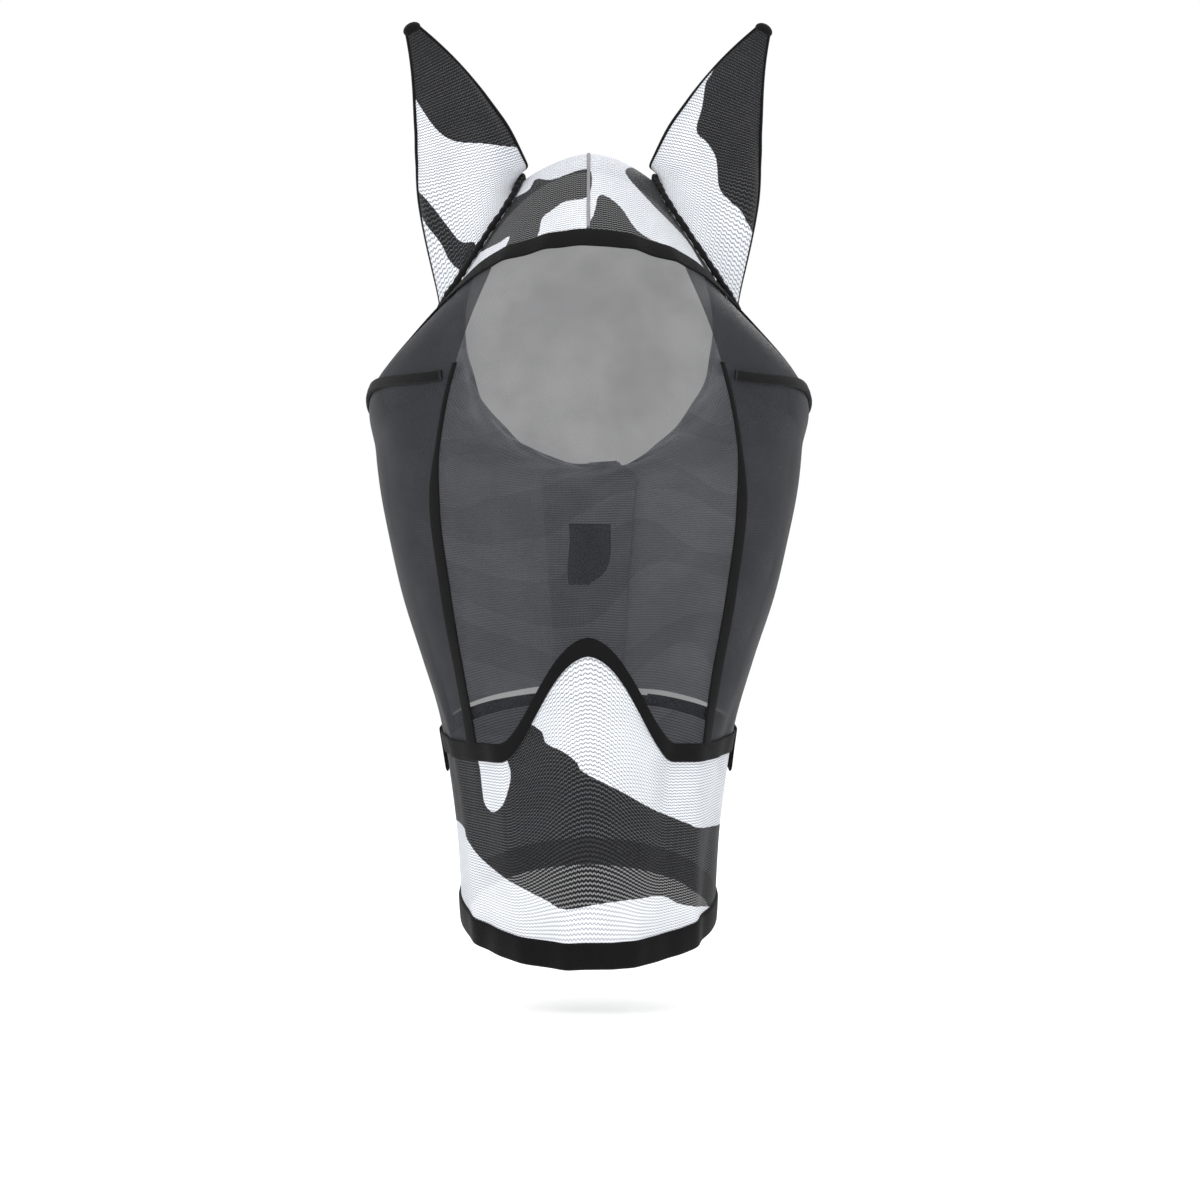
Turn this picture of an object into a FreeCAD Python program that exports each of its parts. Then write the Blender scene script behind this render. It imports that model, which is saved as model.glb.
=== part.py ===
"""Horse fly mask with ear covers and nose piece: fabric panels sewn over one head-shaped skin.

The mask is modelled as worn. +Z is up, the face looks along -Y and +X is the viewer's right.
The origin is where the crown rests on the horse's poll, just under the cloth.
"""
import FreeCAD, Part
import math
import os

Vec = FreeCAD.Vector
doc = FreeCAD.newDocument("fly_mask")

# Each section is one closed ring round the head, from the muzzle up to the nape. A ring lies in the
# plane through its front and back points, and spans half_width to each side of the middle.
# bend over 1 flattens the ring's front and moves its widest place forwards.
SECTIONS = {
    #            front_y front_z back_y back_z half_width bend
    "hem":      (-84, -567, 60, -505, 87, 1.05),
    "muzzle":   (-96, -490, 66, -440, 92, 1.10),
    "nose":     (-104, -425, 80, -375, 101, 1.12),
    "bars":     (-107, -372, 101, -328, 116, 1.15),
    "cheek":    (-107, -315, 122, -286, 132, 1.20),
    "orbit":    (-105, -250, 140, -254, 144, 1.20),
    "eye":      (-101, -190, 152, -233, 150, 1.20),
    "dart":     (-92, -130, 159, -222, 153, 1.15),
    "brow":     (-74, -66, 164, -216, 113, 1.00),
    "forelock": (-38, -22, 166, -213, 99, 0.92),
    "poll":     (0, 0, 167, -212, 94, 0.90),
    "nape":     (42, -8, 168, -211, 90, 0.90),
}
FIELDS = ("front_y", "front_z", "back_y", "back_z", "half_width", "bend")
LEVEL = {name: float(i) for i, name in enumerate(SECTIONS)}
TOP = LEVEL["nape"]

# Driving dimensions in millimetres and degrees. Angles on the skin run round the head from the middle
# of the face, and levels run up it, one for each section.
SIZES = {
    "cloth_thick": 1.5,          # panel cloth
    "tape_thick": 1.4,           # binding and seam tape
    "layer_gap": 0.5,            # air between a panel and the tape over it
    "seam_gap": 0.6,             # air between two panels, which their tape bridges
    "hem_width": 19.0,
    "binding_width": 13.0,
    "seam_tape_width": 9.0,
    "neck_binding_width": 9.0,
    "pad_gap": 0.4,              # air between a hook or loop strip and the cloth it is sewn to
    "rear_seam_angle": 105.0,    # from the middle of the face to the seam behind the cheek
    "flap_seam_side": 66.0,      # out from the middle to the seam that the jaw closure folds on
    "overlap_angle": 13.0,       # how far the closure laps past the middle of the jaw
    "nose_line_level": 2.2,      # nose binding at the side of the nose ridge
    "nose_line_drop": 0.35,      # how much lower it is at the side of the head
    "nose_peak_rise": 1.27,      # how far it peaks on the nose ridge
    "nose_peak_angle": 36.0,
    "brow_line_drop": 0.8,       # how much lower the brow binding is at the side of the head
    "jaw_bottom_level": 2.0,     # lower edge of the side panels and the jaw closure
    "ear_length": 152.0,
    "ear_base_angle": 54.0,      # place on the skin of the middle of an ear's base
    "ear_base_level": 9.2,
    "ear_spread": 45.0,          # how far out the tip curves
    "ear_pitch_left": 12.0,      # how far each ear leans forwards
    "ear_pitch_right": 2.0,
    "ear_opening_margin": 8.0,   # the opening for an ear is this much larger than its base, all round
    "ear_tip_radius": 6.0,
    "ear_ring_thick": 3.6,       # elastic cord round the ear opening
    "stay_width": 7.0,           # padded stay that holds the eye dart off the eye
    "stay_thick": 3.0,
    "strip_width": 38.0,         # hook and loop strips of the jaw closure
    "strip_thick": 1.3,
    "lap_gap": 0.35,             # air between the hooks and the loops when closed
    "strap_level": 1.7,          # chin strap
    "strap_width": 32.0,
    "strap_thick": 1.8,
    "strap_fold_angle": 134.0,   # where its arm folds open
    "strap_end_angle": 236.0,
    "strap_tail_angle": 204.0,
}

# Ear cross sections up the ear, as shares of its length, with half width and half depth.
EAR_RINGS = (
    (0.0, 45, 24),
    (0.2, 42, 24.5),
    (0.36, 38, 24),
    (0.5, 33, 20),
    (0.7, 23, 14),
    (0.85, 14, 9),
    (1.0, 4.5, 4.5),
)
EAR_TIP_SHARE = 0.96  # where the ear's cloth ends, under the knot at its tip
EAR_TURNED = 0.4  # share of the ear's length over which its cross section turns from the crown's slope

# Seam between the face mesh and the cheek mesh: degrees round from the middle, at each level.
SEAM_LEVELS = ("muzzle", "nose", "bars", "cheek", "orbit", "eye", "dart", "brow", "forelock")
SEAM_ANGLES = (53, 51, 48.5, 47, 46.5, 42, 34, 35, 36)


def make_sheet():
    """Writes the driving dimensions to the spreadsheet, one aliased cell each."""
    sheet = doc.addObject("Spreadsheet::Sheet", "Sizes")
    rows = dict(SIZES)
    for name, values in SECTIONS.items():
        rows.update({f"{name}_{field}": value for field, value in zip(FIELDS, values)})
    for row, (name, value) in enumerate(rows.items(), 1):
        sheet.set(f"A{row}", name)
        sheet.set(f"B{row}", str(value))
        sheet.setAlias(f"B{row}", name)
    doc.recompute()
    return sheet


SHEET = make_sheet()


def size(name):
    """A driving dimension, read from the spreadsheet."""
    return float(getattr(SHEET, name))


# ---------------------------------------------------------------- the skin


def smooth_row(values, place):
    """A Catmull-Rom curve through evenly spaced values."""
    last = len(values) - 1
    i = min(max(int(math.floor(place)), 0), last - 1)
    f = place - i
    p1, p2 = values[i], values[i + 1]
    p0 = values[i - 1] if i else 2 * p1 - p2
    p3 = values[i + 2] if i + 2 <= last else 2 * p2 - p1
    return p1 + 0.5 * f * (p2 - p0 + f * (2 * p0 - 5 * p1 + 4 * p2 - p3 + f * (3 * (p1 - p2) + p3 - p0)))


RINGS = {field: [size(f"{name}_{field}") for name in SECTIONS] for field in FIELDS}


def bare_skin(angle, level):
    """The point on the skin at an angle round the head and a level up it."""
    ring = {field: smooth_row(RINGS[field], level) for field in FIELDS}
    turn = math.radians(angle)
    share = ((1 - math.cos(turn)) / 2) ** ring["bend"]
    return Vec(
        ring["half_width"] * math.sin(turn),
        ring["front_y"] + (ring["back_y"] - ring["front_y"]) * share,
        ring["front_z"] + (ring["back_z"] - ring["front_z"]) * share,
    )


def skin_slopes(angle, level):
    """How the skin moves per degree and per level."""
    da, dv = 0.5, 0.02
    per_degree = (bare_skin(angle + da, level) - bare_skin(angle - da, level)) * (0.5 / da)
    per_level = (bare_skin(angle, level + dv) - bare_skin(angle, level - dv)) * (0.5 / dv)
    return per_degree, per_level


def skin(angle, level, out=0.0):
    """The skin, moved outwards along its normal."""
    per_degree, per_level = skin_slopes(angle, level)
    return bare_skin(angle, level) + per_degree.cross(per_level).normalize() * out


def ease(x):
    """0 to 1 with level ends."""
    x = min(max(x, 0.0), 1.0)
    return x * x * (3 - 2 * x)


# ---------------------------------------------------------------- lines on the skin


def nose_line(angle):
    """Level of the nose binding: low at the sides, with a peak on the nose ridge."""
    away = abs((angle + 180) % 360 - 180)
    peak = size("nose_peak_angle")
    rise = 0.5 + 0.5 * math.cos(math.pi * min(away / peak, 1.0))
    side = min(away, size("rear_seam_angle")) / 90
    return size("nose_line_level") - size("nose_line_drop") * side + size("nose_peak_rise") * rise


def brow_line(angle):
    """Level of the brow binding: it falls to the tip of the eye dart."""
    return LEVEL["brow"] - size("brow_line_drop") * ease((abs(angle) - 40) / 55)


def dart_line(angle):
    """Level of the ridge of the eye dart."""
    return LEVEL["dart"] - 0.4 + 0.35 * ease((abs(angle) - 40) / 50)


def seam_angle(level):
    """Angle of the seam between face mesh and cheek mesh."""
    return smooth_row(SEAM_ANGLES, level - LEVEL[SEAM_LEVELS[0]])


def flap_seam(level):
    """Angle of the seam behind the side panel: it keeps one distance from the middle of the head."""
    half_width = smooth_row(RINGS["half_width"], level)
    return 180 - math.degrees(math.asin(size("flap_seam_side") / half_width))


# ---------------------------------------------------------------- solids on the skin


def span(count):
    return [i / (count - 1) for i in range(count)]


def surface(points):
    made = Part.BSplineSurface()
    made.interpolate(points)
    return made


def thick_solid(outer_points, inner_points):
    """A closed solid between two grids of points, with ruled edges."""
    outer, inner = surface(outer_points), surface(inner_points)
    faces = [outer.toShape(), inner.toShape()]
    u0, u1, v0, v1 = outer.bounds()
    a0, a1, b0, b1 = inner.bounds()
    pairs = (
        (outer.uIso(u0), inner.uIso(a0)),
        (outer.uIso(u1), inner.uIso(a1)),
        (outer.vIso(v0), inner.vIso(b0)),
        (outer.vIso(v1), inner.vIso(b1)),
    )
    faces += [Part.makeRuledSurface(a.toShape(), b.toShape()) for a, b in pairs]
    shell = Part.makeShell(faces)
    shell.sewShape()
    solid = Part.makeSolid(shell)
    if solid.Volume < 0:
        solid.reverse()
    return solid


def cord_ring(points, up, radius):
    """A round cord along a closed row of points, as one smooth surface closed both ways."""
    rows, columns = len(points), 8
    swell = 3 / (2 + math.cos(2 * math.pi / columns))
    grid = []
    for k, here in enumerate(points):
        along = (points[(k + 1) % rows] - points[k - 1]).normalize()
        side = along.cross(up).normalize()
        top = side.cross(along)
        turns = [2 * math.pi * j / columns for j in range(columns)]
        grid.append([here + (side * math.cos(a) + top * math.sin(a)) * (radius * swell) for a in turns])
    knots = [[float(i) for i in range(count + 1)] for count in (rows, columns)]
    made = Part.BSplineSurface()
    made.buildFromPolesMultsKnots(grid, [1] * (rows + 1), [1] * (columns + 1), *knots, True, True, 3, 3)
    solid = Part.makeSolid(Part.makeShell([made.toShape()]))
    if solid.Volume < 0:
        solid.reverse()
    return solid


def panel_solid(place, counts, low_out, high_out):
    """A sheet on the skin. place(s, t) gives its angle and level; s runs across it and t up it.

    low_out and high_out are how far its two faces stand off the skin, as numbers or functions of s, t.
    """
    grids = []
    for out in (high_out, low_out):
        rise = out if callable(out) else (lambda s, t, fixed=out: fixed)
        grids.append([[skin(*place(s, t), rise(s, t)) for t in span(counts[1])] for s in span(counts[0])])
    return thick_solid(*grids)


def add_shape(label, shape):
    """A sub-part whose shape is set directly."""
    item = doc.addObject("Part::Feature", label)
    item.Label = label
    item.Shape = shape
    return item


def between(first, last, share):
    return first + (last - first) * share


def patch(left, right, bottom, top):
    """The place function of a panel bounded by four lines: angles of level, and levels of angle."""

    def place(s, t):
        level = between(bottom(0.0), top(0.0), t)
        for _ in range(6):
            angle = between(left(level), right(level), s)
            level = between(bottom(angle), top(angle), t)
        return angle, level

    return place


def fixed(value):
    return lambda _: value


def inset_level(line, mm):
    """A line moved up the skin by a distance."""
    return lambda angle: line(angle) + mm / skin_slopes(angle, line(angle))[1].Length


def inset_angle(line, mm):
    """A line moved round the skin by a distance."""
    return lambda level: line(level) + mm / skin_slopes(line(level), level)[0].Length


def add_panel(label, left, right, bottom, top, counts=(13, 13), out=0.0, gap=None):
    """A cloth panel between four lines, short of each by half a seam gap."""
    gap = size("seam_gap") / 2 if gap is None else gap
    place = patch(
        inset_angle(left, gap),
        inset_angle(right, -gap),
        inset_level(bottom, gap),
        inset_level(top, -gap),
    )
    thick = size("cloth_thick")
    if callable(out):
        return add_shape(label, panel_solid(place, counts, out, lambda s, t: out(s, t) + thick))
    return add_shape(label, panel_solid(place, counts, out, out + thick))


def tape_out():
    """How far tape's inner face stands off the skin."""
    return size("cloth_thick") + size("layer_gap")


def add_tape_round(label, line, first, last, width, low=None, thick=None, count=25):
    """Tape along a line that runs round the head, from one angle to another."""
    low = tape_out() if low is None else low
    thick = size("tape_thick") if thick is None else thick
    place = patch(fixed(first), fixed(last), inset_level(line, -width / 2), inset_level(line, width / 2))
    return add_shape(label, panel_solid(place, (count, 4), low, low + thick))


def add_tape_up(label, line, first, last, width, low=None, thick=None, count=33):
    """Tape along a line that runs up the head, from one level line to another."""
    low = tape_out() if low is None else low
    thick = size("tape_thick") if thick is None else thick
    place = patch(inset_angle(line, -width / 2), inset_angle(line, width / 2), first, last)
    return add_shape(label, panel_solid(place, (4, count), low, low + thick))


SIDES = (("left", -1), ("right", 1))


def side_lines(side, inner, outer):
    """The left and right bounding lines of a panel on one side, with the smaller angle first."""
    lines = [lambda level: side * inner(level), lambda level: side * outer(level)]
    return lines if side > 0 else lines[::-1]


def add_face():
    """Fine mesh over the face, and over both cheeks with their eye darts."""
    rear = fixed(size("rear_seam_angle"))
    half = size("binding_width") / 2
    face_brow = inset_level(brow_line, 0)
    add_panel("face_mesh", lambda v: -seam_angle(v), seam_angle, nose_line, face_brow, (35, 21))
    for name, side in SIDES:
        left, right = side_lines(side, seam_angle, rear)
        add_panel(f"cheek_mesh_{name}", left, right, nose_line, dart_line, (17, 25))
        add_panel(f"eye_dart_{name}", left, right, dart_line, brow_line, (17, 9))
        seam = lambda v, side=side: side * seam_angle(v)
        width = size("seam_tape_width")
        low_end = inset_level(nose_line, half + 1)
        add_tape_up(f"face_seam_tape_{name}", seam, low_end, inset_level(dart_line, -1), width)
        rear_line = lambda v, side=side: side * size("rear_seam_angle")
        add_tape_up(f"cheek_seam_tape_{name}", rear_line, low_end, inset_level(brow_line, -half - 1), width)
        add_stay(name, side)


def add_stay(name, side):
    """The padded stay along the ridge of an eye dart, which holds the mesh off the eye."""
    first, last = seam_angle(LEVEL["dart"]) + 6, size("rear_seam_angle") - 5
    low, thick = tape_out(), size("stay_thick")
    ends = sorted((side * first, side * last))
    add_tape_round(f"eye_stay_{name}", dart_line, *ends, size("stay_width"), low, thick, 17)


def add_brow():
    """Binding from one eye dart over the brow to the other."""
    last = size("rear_seam_angle") + 2
    corner = seam_angle(LEVEL["brow"]) + 4
    width = size("binding_width")
    add_tape_round("brow_binding", brow_line, -corner, corner, width, count=21)
    for name, side in SIDES:
        ends = sorted((side * (corner + 0.4), side * last))
        add_tape_round(f"dart_binding_{name}", brow_line, *ends, width, count=17)


def add_nose():
    """Nose piece: printed mesh in front, a chin panel behind, the binding above and the band below."""
    rear = size("rear_seam_angle")
    half = size("binding_width") / 2
    hem_top = inset_level(fixed(0.0), size("hem_width"))
    add_panel("nose_panel", fixed(-rear), fixed(rear), hem_top, nose_line, (61, 13))
    add_panel("chin_panel", fixed(rear), fixed(360 - rear), hem_top, nose_line, (17, 9))
    add_tape_round("nose_binding", nose_line, -rear - 2, rear + 2, 2 * half, count=61)
    add_tape_round("chin_binding", nose_line, rear + 2.5, 357.5 - rear, 2 * half, count=21)
    hem_line = inset_level(fixed(0.0), size("hem_width") / 2)
    add_tape_round("hem_band_front", hem_line, -rear, rear, size("hem_width"), -0.4, 2.8, 31)
    add_tape_round("hem_band_rear", hem_line, rear + 0.4, 359.6 - rear, size("hem_width"), -0.4, 2.8, 21)
    for name, side in SIDES:
        seam = lambda v, side=side: side * size("rear_seam_angle")
        top = inset_level(nose_line, -half - 1)
        width = size("seam_tape_width")
        add_tape_up(f"nose_seam_tape_{name}", seam, inset_level(hem_top, 1), top, width, count=9)


# ---------------------------------------------------------------- ears


def ear_base(side):
    """Middle of an ear's base, and its long, front and outward directions on the crown."""
    angle, level = side * size("ear_base_angle"), size("ear_base_level")
    per_degree, per_level = skin_slopes(angle, level)
    outward = per_degree.cross(per_level).normalize()
    front = Vec(0, -1, 0)
    front = (front - outward * front.dot(outward)).normalize()
    long_way = outward.cross(front).normalize() * side
    return bare_skin(angle, level), long_way, front, outward


def ear_frame(side, share):
    """Centre of an ear's cross section, and the directions of its width and its depth."""
    base, long_way, base_front, _ = ear_base(side)
    pitch = math.radians(size("ear_pitch_left" if side < 0 else "ear_pitch_right"))
    length, spread = size("ear_length"), size("ear_spread")
    up = Vec(0, -math.sin(pitch), math.cos(pitch))
    centre = base + up * (share * length) + Vec(side * spread * share * share, 0, 0)
    along = (up * length + Vec(side * 2 * spread * share, 0, 0)).normalize()
    across = along.cross(Vec(0, 1, 0)).normalize() * -side
    turned = ease(share / EAR_TURNED)
    width_way = (long_way * (1 - turned) + across * turned).normalize()
    depth_way = (base_front * (1 - turned) + along.cross(across) * (-side * turned)).normalize()
    return centre, width_way, depth_way


def ear_ring(share, field):
    """Half width (field 1) or half depth (field 2) of an ear at a share of its length."""
    for low, high in zip(EAR_RINGS, EAR_RINGS[1:]):
        if share <= high[0]:
            return between(low[field], high[field], (share - low[0]) / (high[0] - low[0]))
    return EAR_RINGS[-1][field]


EAR_STEPS = 12
EAR_WIDTHS, EAR_DEPTHS = ([ear_ring(k / EAR_STEPS, field) for k in range(EAR_STEPS + 1)] for field in (1, 2))


def ear_point(side, turn, share, out=0.0):
    """A point on an ear cover. turn 0 faces forwards, and 90 is away from the middle."""
    centre, width_way, depth_way = ear_frame(side, share)
    half_width = smooth_row(EAR_WIDTHS, share * EAR_STEPS) + out
    half_depth = smooth_row(EAR_DEPTHS, share * EAR_STEPS) + out
    angle = math.radians(turn)
    return centre + width_way * (half_width * math.sin(angle)) + depth_way * (half_depth * math.cos(angle))


def ear_part(side, first, last, low_out, high_out, bottom, top, counts=(17, 31)):
    """Part of an ear cover between two turns and two shares of its length."""
    grids = [
        [
            [ear_point(side, between(first, last, s), between(bottom, top, t), out) for t in span(counts[1])]
            for s in span(counts[0])
        ]
        for out in (high_out, low_out)
    ]
    return thick_solid(*grids)


def ear_edge_tape(side, thick):
    """Seam tape up both edges of an ear, and the bound knot at its tip."""
    half_turn = 9.0  # degrees each side of the edge
    low = thick + size("layer_gap")
    sides = []
    for centre in (-90.0, 90.0):
        turns = (centre - half_turn, centre + half_turn)
        sides.append(ear_part(side, *turns, low, low + size("tape_thick"), 0.14, EAR_TIP_SHARE, (4, 29)))
    centre = ear_frame(side, 1.0)[0]
    knot_lift = 2.5
    tip = Part.makeSphere(size("ear_tip_radius"))
    tip.Placement = FreeCAD.Placement(centre + Vec(0, 0, knot_lift), FreeCAD.Rotation())
    return Part.makeCompound(sides + [tip])


def ear_hole_tool(side):
    """Elliptic cylinder through the crown, for cutting its ear opening."""
    base, long_way, _, outward = ear_base(side)
    margin = size("ear_opening_margin")
    reach = 70.0
    radii = (EAR_RINGS[0][1] + margin, EAR_RINGS[0][2] + margin)
    disc = Part.Face(Part.Wire([Part.Ellipse(Vec(0, 0, 0), *radii).toShape()]))
    tool = disc.extrude(Vec(0, 0, reach))
    turn = FreeCAD.Rotation(long_way, long_way.cross(outward) * -1, outward, "ZXY")
    tool.Placement = FreeCAD.Placement(base - outward * (reach / 2), turn)
    return tool


def add_ears():
    """Ear covers: front and back half, and the tape over their seam."""
    thick = size("cloth_thick")
    gap_turn = 0.5
    for name, side in SIDES:
        for half, first, last in (("front", -90, 90), ("back", 90, 270)):
            cloth = ear_part(side, first + gap_turn, last - gap_turn, 0, thick, 0, EAR_TIP_SHARE)
            add_shape(f"ear_{half}_{name}", cloth)
        add_shape(f"ear_seam_tape_{name}", ear_edge_tape(side, thick))


def add_crown():
    """Printed crown in two halves with its middle seam, its ear openings and their elastic."""
    rear = fixed(size("rear_seam_angle"))
    half = size("binding_width") / 2
    top = fixed(TOP)
    for name, side in SIDES:
        left, right = side_lines(side, fixed(0.0), rear)
        panel = add_panel(f"crown_blank_{name}", left, right, brow_line, top, (25, 21))
        tool = add_shape(f"ear_opening_{name}", ear_hole_tool(side))
        cut = doc.addObject("Part::Cut", f"crown_panel_{name}")
        cut.Base, cut.Tool = panel, tool
        cut.Label = f"crown_panel_{name}"
        add_ear_ring(name, side)
    width = size("neck_binding_width")
    ends = (inset_level(brow_line, half + 1), inset_level(top, -width - 1))
    add_tape_up("crown_seam_tape", fixed(0.0), *ends, 6.0)
    last = flap_seam(TOP) - 1.5
    add_tape_round("neck_binding", inset_level(top, -width / 2), -last, last, width, count=41)


def add_ear_ring(name, side):
    """Covered elastic round an ear opening: it lies on the crown, just outside the opening."""
    base, long_way, front, outward = ear_base(side)
    grow = size("ear_opening_margin") + size("ear_ring_thick") / 2 + 1.0
    half_long, half_short = EAR_RINGS[0][1] + grow, EAR_RINGS[0][2] + grow
    points = []
    for k in range(24):
        turn = 2 * math.pi * k / 24
        flat = base + long_way * (half_long * math.cos(turn)) + front * (half_short * math.sin(turn))
        points.append(drop_on_crown(flat, outward, side))
    add_shape(f"ear_ring_{name}", cord_ring(points, outward, size("ear_ring_thick") / 2))


def drop_on_crown(start, along, side):
    """Slides a point along a direction onto the crown, and lifts it clear of the cloth."""
    clear = size("cloth_thick") + size("ear_ring_thick") / 2 + 0.4
    angle, level = side * size("ear_base_angle"), size("ear_base_level")
    for _ in range(60):
        here = bare_skin(angle, level)
        per_degree, per_level = skin_slopes(angle, level)
        normal = per_degree.cross(per_level).normalize()
        reach = (here - start).dot(normal) / along.dot(normal)
        miss = start + along * reach - here
        angle += 0.7 * miss.dot(per_degree) / per_degree.dot(per_degree)
        level += 0.7 * miss.dot(per_level) / per_level.dot(per_level)
        level = min(max(level, LEVEL["dart"]), TOP + 0.5)
    return skin(angle, level, clear)


# ---------------------------------------------------------------- jaw closure


def add_sides():
    """Printed side panels behind the cheeks."""
    bottom, top = fixed(size("jaw_bottom_level")), fixed(TOP)
    for name, side in SIDES:
        left, right = side_lines(side, fixed(size("rear_seam_angle")), flap_seam)
        add_panel(f"side_panel_{name}", left, right, bottom, top, (11, 37))
        seam = fixed(side * size("rear_seam_angle"))
        over = inset_level(brow_line, size("binding_width") / 2 + 1)
        below = inset_level(top, -size("binding_width") - 1)
        add_tape_up(f"side_seam_tape_{name}", seam, over, below, size("seam_tape_width"), count=17)


def closure_lap():
    """How far the lapping half of the jaw closure stands off the skin."""
    return size("cloth_thick") + 2 * (size("pad_gap") + size("strip_thick")) + size("lap_gap")


def add_closure():
    """Jaw closure: the left half stays on the mask and the right half is a flap that laps over it."""
    bottom, top = fixed(size("jaw_bottom_level")), fixed(TOP)
    overlap = size("overlap_angle")
    lap = closure_lap()
    thick, strip = size("cloth_thick"), size("strip_thick")
    left_seam = lambda level: -flap_seam(level)
    add_panel("jaw_panel", fixed(-180 - overlap), left_seam, bottom, top, (15, 37))

    def flap_out(s, t):
        return lap * ease(s / 0.6)

    add_panel("jaw_flap", flap_seam, fixed(180 + overlap), bottom, top, (15, 37), flap_out, gap=2.2)
    for name, first, last in (("lower", 2.4, 3.4), ("upper", 3.6, 4.9)):
        ends = (fixed(first), fixed(last))
        width = size("strip_width")
        add_tape_up(f"loop_strip_{name}", fixed(-180.0), *ends, width, thick + size("pad_gap"), strip, 17)
        add_tape_up(f"hook_strip_{name}", fixed(180.0), *ends, width, lap - size("pad_gap") - strip, strip, 17)


def add_strap():
    """Chin strap: a fixed tail on the right, and an arm folding from the left that closes over it."""
    level = fixed(size("strap_level"))
    width, thick, pad = size("strap_width"), size("strap_thick"), size("strip_thick")
    low = tape_out() + size("tape_thick") + 0.4
    gap = size("pad_gap")
    high = low + thick + 2 * (gap + pad) + size("lap_gap")
    start, fold = size("rear_seam_angle") - 9, size("strap_fold_angle")
    tail, end = size("strap_tail_angle"), size("strap_end_angle")
    add_tape_round("chin_strap_tail", level, start, 360 - tail, width, low, thick, 13)
    add_tape_round("chin_strap_loop_pad", level, 362 - end, 359 - tail, width - 4, low + thick + gap, pad, 13)
    add_tape_round("chin_strap_hook_pad", level, 362 - end, 359 - tail, width - 4, high - gap - pad, pad, 13)
    add_tape_round("chin_strap_anchor", level, 360 - fold + 0.8, 360 - start, width, low, thick, 7)

    def arm_place(s, t):
        angle = between(360 - end, 359.2 - fold, s)
        return angle, inset_level(level, (t - 0.5) * width)(angle)

    def arm_out(s, t):
        return between(low, high, ease((1 - s) / 0.55))

    arm = panel_solid(arm_place, (19, 4), arm_out, lambda s, t: arm_out(s, t) + thick)
    add_shape("chin_strap_arm", arm)


def check_and_write():
    """Stops on a failed or broken object, then writes one STEP file for each sub-part."""
    doc.recompute()
    helpers = ("crown_blank", "ear_opening")
    os.makedirs("parts", exist_ok=True)
    for name in os.listdir("parts"):
        os.remove(os.path.join("parts", name))
    for item in doc.Objects:
        if "Invalid" in item.State or "Error" in item.State:
            raise RuntimeError(f"{item.Label} failed to recompute: {item.State}")
        if item.TypeId.startswith("Spreadsheet") or item.Label.startswith(helpers):
            continue
        shape = item.Shape
        if shape.isNull() or not shape.isValid() or not shape.Solids:
            raise RuntimeError(f"{item.Label} has no valid shape")
        if min(solid.Volume for solid in shape.Solids) <= 0:
            raise RuntimeError(f"{item.Label} is inside out")
        shape.exportStep(os.path.join("parts", f"{item.Label}.step"))
        print(f"{item.Label:26s} {shape.Volume / 1000:8.2f} cm3")


add_face()
add_brow()
add_nose()
add_crown()
add_ears()
add_sides()
add_closure()
add_strap()
check_and_write()
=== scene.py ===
"""Looks of a horse fly mask: printed knitted mesh, fine black net, ribbed binding and a fleece hem."""
import math

import bpy
import numpy as np
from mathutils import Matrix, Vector


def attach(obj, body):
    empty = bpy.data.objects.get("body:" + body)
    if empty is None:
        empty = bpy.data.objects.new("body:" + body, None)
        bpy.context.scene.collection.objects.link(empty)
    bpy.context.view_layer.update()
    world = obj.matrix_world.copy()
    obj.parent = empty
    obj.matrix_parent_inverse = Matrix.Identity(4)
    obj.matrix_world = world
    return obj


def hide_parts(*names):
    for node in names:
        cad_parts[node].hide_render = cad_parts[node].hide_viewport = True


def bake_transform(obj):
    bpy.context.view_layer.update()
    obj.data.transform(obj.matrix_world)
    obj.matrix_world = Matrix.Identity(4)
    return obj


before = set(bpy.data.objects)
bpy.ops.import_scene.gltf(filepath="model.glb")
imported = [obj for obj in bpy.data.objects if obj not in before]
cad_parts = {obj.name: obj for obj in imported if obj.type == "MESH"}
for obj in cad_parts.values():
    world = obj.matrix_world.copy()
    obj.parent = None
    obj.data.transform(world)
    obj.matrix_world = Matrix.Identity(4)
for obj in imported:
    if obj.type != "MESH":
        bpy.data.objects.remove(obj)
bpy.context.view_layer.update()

MM = 0.001

# ---------------------------------------------------------------- the head-shaped skin

# Rings round the head from the muzzle to the nape, in millimetres:
# front y, front z, back y, back z, half width, and how far the front is flattened.
SECTIONS = {
    "hem":      (-84, -567, 60, -505, 87, 1.05),
    "muzzle":   (-96, -490, 66, -440, 92, 1.10),
    "nose":     (-104, -425, 80, -375, 101, 1.12),
    "bars":     (-107, -372, 101, -328, 116, 1.15),
    "cheek":    (-107, -315, 122, -286, 132, 1.20),
    "orbit":    (-105, -250, 140, -254, 144, 1.20),
    "eye":      (-101, -190, 152, -233, 150, 1.20),
    "dart":     (-92, -130, 159, -222, 153, 1.15),
    "brow":     (-74, -66, 164, -216, 113, 1.00),
    "forelock": (-38, -22, 166, -213, 99, 0.92),
    "poll":     (0, 0, 167, -212, 94, 0.90),
    "nape":     (42, -8, 168, -211, 90, 0.90),
}
RINGS = np.array(list(SECTIONS.values()), float)
LEVEL = {name: float(i) for i, name in enumerate(SECTIONS)}
TOP = LEVEL["nape"]


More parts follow.
